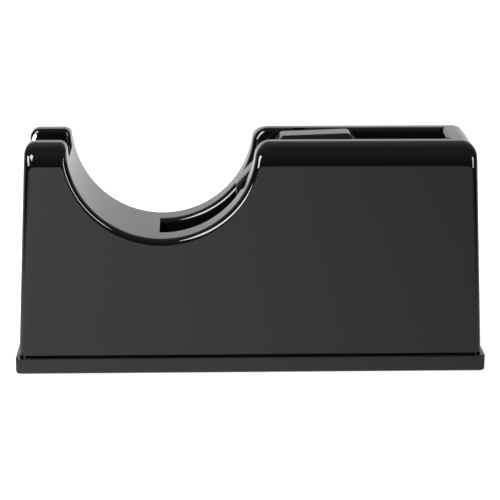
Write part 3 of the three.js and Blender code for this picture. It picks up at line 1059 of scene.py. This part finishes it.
@dataclass
class Base:
    """The base with its flange, tray, lip, screw bosses and feet."""

    height: float = 7.1 * MM
    corner: float = 2.0 * MM
    top_round: float = 0.5 * MM
    foot_round: float = 1.2 * MM
    floor: float = 2.7 * MM
    wall: float = 2.4 * MM
    lip: float = 2.0 * MM
    pillar: float = 3.6 * MM
    shank: float = 1.4 * MM
    screw_head: float = 1.2 * MM
    foot_recess: float = 1.3 * MM

    def _slab(self) -> bmesh.types.BMesh:
        """The outer slab: round upright corners, a crisp upper edge and a softer lower one.

        Returns:
            The mesh.
        """
        bottom, top = low("base_plate"), high("base_plate")
        bm = block(bottom, (top.x, top.y, bottom.z + self.height))
        upright = [e for e in bm.edges if abs(e.verts[0].co.z - e.verts[1].co.z) > MM]
        round_edges(bm, upright, self.corner, 10)
        for z, radius in ((bottom.z, self.foot_round), (bottom.z + self.height, self.top_round)):
            ring = [e for e in bm.edges if all(abs(v.co.z - z) < FLAT for v in e.verts)]
            round_edges(bm, ring, radius, 6)
        return bm

    def build(self) -> None:
        """Makes the base and its feet."""
        bottom, top = low("base_plate"), high("base_plate")
        ledge, floor = bottom.z + self.height, bottom.z + self.floor
        shell = high("body_shell")
        lip_x, lip_y = shell.x - self.wall - GAP, shell.y - self.wall - GAP
        room_x, room_y = lip_x - self.lip, lip_y - self.lip
        posts = [f"base_screw_{i}" for i in range(1, 5)]
        screws = posts + [f"ballast_screw_{i}" for i in range(1, 7)]

        base = link("base", self._slab())
        carve(
            base,
            add=[block((-lip_x, -lip_y, ledge - self.top_round), (lip_x, lip_y, top.z))],
            cut=[block((-room_x, -room_y, floor), (room_x, room_y, top.z + OVER))],
        )
        bosses = [place(rod(self.pillar, bottom.z + MM, ledge), (centre(n).x, centre(n).y, 0))
                  for n in posts]
        holes = [place(rod(self.pillar + 2 * GAP, ledge, top.z + OVER), (centre(n).x, centre(n).y, 0))
                 for n in posts]
        for name in screws:
            head, spot = (high(name).x - low(name).x) / 2, centre(name)
            seat = low(name).z + self.screw_head + GAP
            holes.append(place(rod(head + GAP, -OVER, seat, 32), (spot.x, spot.y, 0)))
            holes.append(place(rod(self.shank + GAP, -OVER, ledge + OVER, 24), (spot.x, spot.y, 0)))
        feet = [Foot(f"foot_{i}") for i in range(1, 5)]
        for foot in feet:
            recess = rod(foot.radius + GAP, -OVER, bottom.z + self.foot_recess, 64)
            holes.append(place(recess, (foot.spot.x, foot.spot.y, 0)))
        carve(base, add=bosses, cut=holes)
        smooth(base)
        deliver(base, Finishes.BASE, "casing", "base_plate")
        for foot in feet:
            foot.build()


@dataclass
class Foot:
    """A round rubber foot with a rounded rim and two rings moulded in its sole."""

    node: str
    rim: float = 0.4 * MM
    rim_land: float = 1.0 * MM
    top_edge: float = 0.1 * MM
    ring_places: tuple[float, float] = (0.38, 0.68)
    ring_half: float = 0.6 * MM
    ring_slope: float = 0.3 * MM
    ring_height: float = 0.25 * MM

    def __post_init__(self) -> None:
        """Reads the foot's place and size from the frame."""
        self.spot = centre(self.node)
        self.radius = (high(self.node).x - low(self.node).x) / 2

    def build(self) -> None:
        """Makes the foot."""
        radius, sole, top = self.radius, low(self.node).z, high(self.node).z
        hollow, wide = sole + self.ring_height, self.ring_half + self.ring_slope
        profile = [(0, hollow)]
        for middle in (radius * share for share in self.ring_places):
            profile += [(middle - wide, hollow), (middle - self.ring_half, sole),
                        (middle + self.ring_half, sole), (middle + wide, hollow)]
        profile += [(radius - self.rim_land - self.ring_slope, hollow), (radius - self.rim_land, sole)]
        profile += [(radius - self.rim * (1 - math.sin(t)), sole + self.rim * (1 - math.cos(t)))
                    for t in (math.pi / 2 * i / 5 for i in range(6))]
        profile += [(radius, top - self.top_edge), (radius - self.top_edge, top), (0, top)]
        foot = link(f"rubber_{self.node}", place(turned(profile, 64), (self.spot.x, self.spot.y, 0)))
        smooth(foot)
        deliver(foot, Finishes.RUBBER, "casing", self.node)


@dataclass
class Screw:
    """A cross-head screw, built with its head under z = 0 and its shank pointing up."""

    node: str
    head: float
    head_height: float
    shank: float
    length: float
    rim_share: float = 0.35
    edge: float = 0.08 * MM
    pitch: float = 0.7 * MM
    core_share: float = 0.8
    point: float = 1.2 * MM
    slot_reach: float = 0.55
    slot_half: float = 0.13
    slot_depth: float = 0.75

    def _profile(self) -> list[tuple[float, float]]:
        """The screw's half section, from the top of its domed head to its point.

        Returns:
            (radius, height) points.
        """
        head, tall, shank, core = self.head, self.head_height, self.shank, self.shank * self.core_share
        profile = [(0, -tall)]
        for i in reversed(range(6)):
            turn = math.pi / 2 * i / 6
            rise = self.rim_share + (1 - self.rim_share) * math.sin(turn)
            profile.append((head * math.cos(turn), -tall * rise))
        profile += [(head, -self.edge), (head - self.edge, 0), (shank, 0)]
        z = 0.4 * MM
        while z < self.length - 0.4 * MM - self.point:
            profile += [(core, z), (core, z + self.pitch * 0.3), (shank, z + self.pitch * 0.65),
                        (core, z + self.pitch)]
            z += self.pitch
        profile += [(core, self.length - self.point), (0.15 * MM, self.length - 0.1 * MM), (0, self.length)]
        return [p for i, p in enumerate(profile) if i == 0 or p != profile[i - 1]]

    def build(self, spot: Vector, turn: Euler | None = None) -> None:
        """Makes the screw at a spot.

        Args:
            spot: the middle of the head's seat.
            turn: how it is turned from pointing up.
        """
        screw = link(f"steel_{self.node}", turned(self._profile(), 28))
        arm, thin = self.head * self.slot_reach, self.head * self.slot_half
        start, end = -self.head_height - MM, -self.head_height * (1 - self.slot_depth)
        carve(screw, [block((-x, -y, start), (x, y, end)) for x, y in ((arm, thin), (thin, arm))])
        with edited(screw) as bm:
            place(bm, spot, turn)
        smooth(screw)
        deliver(screw, Finishes.SCREW, "casing", self.node)


@dataclass
class Cutter:
    """The toothed blade, the carrier behind it, and their screws."""

    blade_thickness: float = 0.8 * MM
    blade_lean: float = 27.0
    tooth: float = 1.2 * MM
    teeth: int = 16
    hole: float = 1.4 * MM
    screw_spacing: float = 10 * MM
    blade_screw: tuple[float, ...] = (2 * MM, 1.1 * MM, 1.1 * MM, 4.5 * MM)
    carrier_screw: tuple[float, ...] = (2.6 * MM, 1.4 * MM, 1.3 * MM, 7 * MM)
    casing_wall: float = 2.4 * MM
    rib_count: int = 5
    rib_inset: float = 1.2 * MM
    gutter_depth: float = 0.9 * MM

    def build(self) -> None:
        """Makes the blade, its carrier and the four screws."""
        lean = math.radians(self.blade_lean)
        box_low, box_high = low("cutter_blade"), high("cutter_blade")
        tip = Vector((box_low.x, 0, box_high.z - self.blade_thickness * math.sin(lean)))
        length = (box_high.z - box_low.z - self.blade_thickness * math.sin(lean)) / math.cos(lean)
        turn = Euler((0, -lean, 0))
        screw_mid = (low("blade_carrier").z + high("blade_carrier").z) / 2
        down = (tip.z - screw_mid) / math.cos(lean)
        self._blade(tip, length, down, turn)
        self._carrier(tip, down, turn)
        for i, side in enumerate((-1, 1)):
            aside = side * self.screw_spacing / 2
            spot = tip + Vector((down * math.sin(lean), aside, -down * math.cos(lean)))
            outward = Vector((-math.cos(lean), 0, -math.sin(lean)))
            screw = Screw(f"blade_screw_{i + 1}", *self.blade_screw)
            screw.build(spot + outward * GAP, Euler((0, math.pi / 2 - lean, 0)))
            node = f"carrier_screw_{i + 1}"
            screw = Screw(node, *self.carrier_screw)
            screw.build(Vector((centre(node).x, centre(node).y, low(node).z + screw.head_height)))

    def _blade(self, tip: Vector, length: float, down: float, turn: Euler) -> None:
        """Makes the blade with ground teeth.

        Args:
            tip: the middle of its toothed edge.
            length: its length from the edge down.
            down: how far below the edge its screws are.
            turn: how it leans.
        """
        half = high("cutter_blade").y
        pitch = 2 * half / self.teeth
        bm = bmesh.new()
        corners = [(-half, -length), (half, -length)]
        for i in range(self.teeth, 0, -1):
            corners += [(-half + i * pitch, -self.tooth), (-half + (i - 0.5) * pitch, 0)]
        corners.append((-half, -self.tooth))
        verts = [bm.verts.new((0, y, z)) for y, z in corners]
        face = bm.faces.new(verts)
        pushed = bmesh.ops.extrude_face_region(bm, geom=[face])["geom"]
        back = [v for v in pushed if isinstance(v, bmesh.types.BMVert)]
        bmesh.ops.translate(bm, vec=(self.blade_thickness, 0, 0), verts=back)
        for vert in back:
            if vert.co.z > -self.tooth * 0.5:
                vert.co.z -= self.tooth * 0.45
        blade = link("toothed_blade", bm)
        drills = [place(rod(self.hole, -OVER / 2, OVER / 2, 32), (0, side * self.screw_spacing / 2, -down),
                        Euler((0, math.pi / 2, 0))) for side in (-1, 1)]
        carve(blade, drills)
        with edited(blade) as bm:
            place(bm, tip, turn)
        smooth(blade, 25)
        deliver(blade, Finishes.BLADE, "casing", "cutter_blade")

    def _carrier(self, tip: Vector, down: float, turn: Euler) -> None:
        """Makes the carrier: a wedge behind the blade, ribbed on top where the tape rests.

        Args:
            tip: the middle of the blade's toothed edge.
            down: how far below the edge the blade's screws are.
            turn: how the blade leans.
        """
        lean = math.radians(self.blade_lean)
        bottom, top = low("blade_carrier"), high("blade_carrier")
        side = SideOutline()

        def face(z: float) -> Vector:
            """The sloping face that the blade lies on, at a height."""
            drop = tip.z - z
            return Vector((tip.x + drop * math.tan(lean) + (self.blade_thickness + GAP) / math.cos(lean), z))

        middle = side.hollow.x
        outline = [face(top.z), face(bottom.z), Vector((middle, bottom.z)), Vector((middle, top.z))]
        carrier = link("carrier", plate(outline, bottom.y, top.y))
        reach = side.hollow_radius + self.casing_wall + GAP
        cuts = [place(rod(reach, -OVER * 4, OVER * 4, 160), (middle, 0, side.hollow.y),
                      Euler((math.pi / 2, 0, 0)))]
        gutter = (top.y - bottom.y) / (2 * self.rib_count + 1)
        for i in range(self.rib_count):
            y = bottom.y + gutter * (2 * i + 1)
            cuts.append(block((face(top.z).x + self.rib_inset, y, top.z - self.gutter_depth),
                              (middle, y + gutter, top.z + OVER)))
        for way in (-1, 1):
            drill = rod(self.hole, -6 * MM, 8 * MM, 24)
            place(drill, (0, way * self.screw_spacing / 2, -down), Euler((0, math.pi / 2, 0)))
            cuts.append(place(drill, tip, turn))
        for i in (1, 2):
            node = f"carrier_screw_{i}"
            bore = rod(self.carrier_screw[2] + GAP, bottom.z - OVER, high(node).z + GAP, 24)
            cuts.append(place(bore, (centre(node).x, centre(node).y, 0)))
        carve(carrier, cuts)
        smooth(carrier)
        deliver(carrier, Finishes.CARRIER, "casing", "blade_carrier")


@dataclass
class Hub:
    """The octagonal core hub and its axle, lying in the well's grooves."""

    radius: float = 37.1 * MM
    sides: int = 8
    turn: float = 2.0
    rim: float = 2.2 * MM
    web: float = 1.8 * MM
    rib: float = 1.6 * MM
    ring: float = 12.2 * MM
    boss: float = 6.0 * MM
    bore: float = 2.6 * MM
    width: float = 10 * MM
    corner: float = 0.9 * MM
    inner_corner: float = 1.2 * MM
    rim_edge: float = 0.35 * MM
    rib_edge: float = 0.3 * MM

    def _octagon(self, radius: float, half: float, rounding: float = 0.0) -> bmesh.types.BMesh:
        """An eight-sided bar along Y with rounded corners.

        Args:
            radius: the distance to its corners.
            half: half its length.
            rounding: the radius of its long edges, or 0.

        Returns:
            The mesh.
        """
        bm = rod(radius, -half, half, self.sides)
        first = math.radians(self.turn) + math.pi / self.sides
        now = min(math.atan2(v.co.y, v.co.x) % (2 * math.pi / self.sides) for v in bm.verts)
        bmesh.ops.rotate(bm, cent=(0, 0, 0), matrix=Matrix.Rotation(first + now, 3, "Z"), verts=bm.verts)
        if rounding:
            long_edges = [e for e in bm.edges if abs(e.verts[0].co.z - e.verts[1].co.z) > MM]
            round_edges(bm, long_edges, rounding, 5)
        return place(bm, (0, 0, 0), Euler((math.pi / 2, 0, 0)))

    def build(self) -> None:
        """Makes the hub and its axle."""
        middle = centre("core_hub")
        half, boss_half = self.width / 2, high("core_hub").y
        inside = self.radius - self.rim / math.cos(math.pi / self.sides)
        hub = link("hub", self._octagon(self.radius, half, self.corner))
        recess = (self.width - self.web) / 2
        pockets = []
        for way in (-1, 1):
            bm = self._octagon(inside, recess / 2 + MM, self.inner_corner)
            pockets.append(place(bm, (0, way * (self.web / 2 + recess / 2 + MM), 0)))
        carve(hub, pockets)
        self._rim_round(hub, half)
        sideways = Euler((math.pi / 2, 0, 0))
        ring = carve(link("ring", place(rod(self.ring, -half, half, 72), (0, 0, 0), sideways)),
                     [place(rod(self.ring - self.rim, -OVER, OVER, 72), (0, 0, 0), sideways)])
        extra = [loosened(ring), place(rod(self.boss, -boss_half, boss_half, 56), (0, 0, 0), sideways)]
        reach = inside * math.cos(math.pi / self.sides) + self.rim / 2
        rib_low = (self.boss / 2, -half + self.rim, -self.rib / 2)
        rib_high = (reach, half - self.rim, self.rib / 2)
        for i in range(self.sides):
            angle = math.radians(self.turn) + i * 2 * math.pi / self.sides
            rib = block(rib_low, rib_high, self.rib_edge, 2)
            extra.append(place(rib, (0, 0, 0), Euler((0, -angle, 0))))
        bore = place(rod(self.bore, -OVER * 2, OVER * 2, 40), (0, 0, 0), sideways)
        carve(hub, add=extra, cut=[bore])
        hub.data.transform(Matrix.Translation(middle))
        smooth(hub, 30)
        deliver(hub, Finishes.HUB, "hub", "core_hub")
        self._axle()

    def _rim_round(self, hub: bpy.types.Object, half: float) -> None:
        """Rounds the outer and inner edges of the rim.

        Args:
            hub: the hub.
            half: half its width.
        """
        with edited(hub) as bm:
            edges = [e for e in bm.edges if len(e.link_faces) == 2 and e.calc_face_angle(0) > 1.0
                     and all(abs(abs(v.co.y) - half) < FLAT for v in e.verts)]
            round_edges(bm, edges, self.rim_edge, 3)

    def _axle(self) -> None:
        """Makes the steel axle with chamfered ends."""
        bottom, top = low("hub_axle"), high("hub_axle")
        radius, half, chamfer = (top.x - bottom.x) / 2, top.y, 0.4 * MM
        profile = [(0, -half), (radius - chamfer, -half), (radius, -half + chamfer),
                   (radius, half - chamfer), (radius - chamfer, half), (0, half)]
        axle = link("axle", place(turned(profile, 48), centre("hub_axle"), Euler((math.pi / 2, 0, 0))))
        smooth(axle, 25)
        deliver(axle, Finishes.SCREW, "axle", "hub_axle")


@dataclass
class Fastenings:
    """The screws under the base and the ballast inside it."""

    head: float = 2.9 * MM
    head_height: float = 1.2 * MM
    shank: float = 1.4 * MM

    def build(self) -> None:
        """Makes the screws under the base and gives the ballast its finish."""
        for kind, count, length in (("base_screw", 4, 22 * MM), ("ballast_screw", 6, 10 * MM)):
            for i in range(1, count + 1):
                node = f"{kind}_{i}"
                spot = centre(node)
                screw = Screw(node, self.head, self.head_height, self.shank, length)
                screw.build(Vector((spot.x, spot.y, low(node).z + self.head_height)))
        for node in ("ballast_front", "ballast_near", "ballast_far"):
            Finishes.IRON.value.dress(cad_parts[node])


# ---------------------------------------------------------------------------
# studio
# ---------------------------------------------------------------------------
@dataclass(frozen=True)
class SoftBox:
    """A rectangular light that looks at the object.

    Attributes:
        name: its name.
        azimuth: degrees round from the front, to the right.
        elevation: degrees above the floor.
        size: its width and height.
        power: its power in watts.
        reach: its distance from the origin.
        aim: the height that it looks at.
    """

    name: str
    azimuth: float
    elevation: float
    size: tuple[float, float]
    power: float
    reach: float = 1.1
    aim: float = 0.06

    def build(self) -> None:
        """Makes the light."""
        turn, rise = math.radians(self.azimuth), math.radians(self.elevation)
        ahead = Vector((math.sin(turn), -math.cos(turn), 0)) * math.cos(rise)
        spot = (ahead + Vector((0, 0, math.sin(rise)))) * self.reach
        data = bpy.data.lights.new(self.name, "AREA")
        data.shape = "RECTANGLE"
        data.size, data.size_y = self.size
        data.energy = self.power
        light = bpy.data.objects.new(self.name, data)
        light.location = spot
        aim = Vector((0, 0, self.aim)) - spot
        light.rotation_euler = aim.to_track_quat("-Z", "Y").to_euler()
        bpy.context.scene.collection.objects.link(light)


@dataclass
class Studio:
    """Pale floor, pale surroundings, soft lights and the camera."""

    camera_spot: tuple[float, float, float] = (-25.93 * MM, -783.87 * MM, 262.13 * MM)
    camera_pitch: float = 15.312
    camera_yaw: float = 1.912
    camera_roll: float = 0.177
    lens: float = 135.12
    floor_half: float = 4.0
    floor_tone: float = 0.86
    floor_sheet: float = 0.75
    boxes: tuple[SoftBox, ...] = (
        SoftBox("left_box", azimuth=-36.0, elevation=33.0, size=(0.36, 1.0), power=22.0),
        SoftBox("right_box", azimuth=40.0, elevation=18.0, size=(0.22, 1.0), power=9.0),
    )

    def build(self) -> None:
        """Makes the floor, the surroundings, the lights and the camera."""
        self._camera()
        self._floor()
        self._surroundings()
        for box in self.boxes:
            box.build()

    def _camera(self) -> None:
        """Makes the camera."""
        data = bpy.data.cameras.new("camera")
        data.lens = self.lens
        data.sensor_width = 36.0
        data.clip_start, data.clip_end = 0.05, 50.0
        camera = bpy.data.objects.new("camera", data)
        turn = Matrix.Rotation(math.radians(-self.camera_yaw), 4, "Z")
        turn @= Matrix.Rotation(math.radians(90 - self.camera_pitch), 4, "X")
        turn @= Matrix.Rotation(math.radians(self.camera_roll), 4, "Z")
        camera.matrix_world = Matrix.Translation(self.camera_spot) @ turn
        bpy.context.scene.collection.objects.link(camera)
        bpy.context.scene.camera = camera
        bpy.context.scene.view_settings.view_transform = "Standard"

    def _floor(self) -> None:
        """Makes the pale floor: evenly white to the camera, while to reflections and bounced light it glows
        with painted light, brighter on the near left and dimmer on the near right, and with painted shade at
        the near sides.
        """
        bm = bmesh.new()
        bmesh.ops.create_grid(bm, x_segments=1, y_segments=1, size=self.floor_half)
        floor = link("floor", bm)
        floor.data.flip_normals()
        material = bpy.data.materials.new("pale_floor")
        material.use_nodes = True
        shader = ShaderTree(material.node_tree)
        spot = shader.node("ShaderNodeTexCoord", out="Object")
        x, y, _ = shader.axes(spot)
        aside = shader.node("ShaderNodeMath", {"operation": "ABSOLUTE"}, {0: x})
        # Painted reflection: seen only in reflections and bounced light, the floor glows brighter on the near
        # left and dimmer on the near right, as a lamp's painted pool of light, and goes dark at the near
        # sides as painted shade.
        front = y.above(0.0, 0.02)
        sides = aside.above(0.30, 0.30) * (1 - front)
        seen = shader.node("ShaderNodeLightPath", out="Is Camera Ray")
        painted_glow = 0.9 - (x.above(0.0, 0.5) - 0.5) * 0.73 * (1 - front)
        level = (1 - sides) * painted_glow
        paint = shader.node("ShaderNodeBsdfDiffuse", values={"Color": (*[self.floor_tone] * 3, 1)})
        light = shader.node("ShaderNodeEmission", values={"Color": (1, 1, 1, 1), "Strength": level})
        sheet = shader.node(
            "ShaderNodeEmission", values={"Color": (1, 1, 1, 1), "Strength": self.floor_sheet},
        )
        looked = shader.node("ShaderNodeAddShader", values={0: paint, 1: sheet})
        mixed = shader.node("ShaderNodeMixShader", values={0: seen, 1: light, 2: looked})
        shader.node("ShaderNodeOutputMaterial", values={"Surface": mixed})
        floor.data.materials.append(material)

    def _surroundings(self) -> None:
        """Makes the surroundings: white to look at, dark in front of the object and above it."""
        world = bpy.data.worlds.new("studio")
        bpy.context.scene.world = world
        world.use_nodes = True
        shader = ShaderTree(world.node_tree)
        way = shader.node("ShaderNodeTexCoord", out="Generated")
        _, y, z = shader.axes(way)
        backdrop = y.above(0.2, 0.5)
        sheet = 0.28 + (1 - z.above(0.37, 0.24)) * 0.62
        front = 0.02 + z.above(0.6, 0.9) * 0.14
        level = backdrop * sheet + (1 - backdrop) * front
        seen = shader.node("ShaderNodeLightPath", out="Is Camera Ray")
        dim = shader.node("ShaderNodeBackground", values={"Color": (1, 1, 1, 1), "Strength": level})
        white = shader.node("ShaderNodeBackground", values={"Color": (1, 1, 1, 1), "Strength": 1.0})
        mixed = shader.node("ShaderNodeMixShader", values={0: seen, 1: dim, 2: white})
        shader.node("ShaderNodeOutputWorld", values={"Surface": mixed})


def main() -> None:
    """Builds the dispenser and its studio."""
    logging.basicConfig(level=logging.INFO, format="%(name)s: %(message)s")
    Studio().build()
    Casing().build()
    Base().build()
    Cutter().build()
    Hub().build()
    Fastenings().build()


if __name__ == "__main__":
    main()
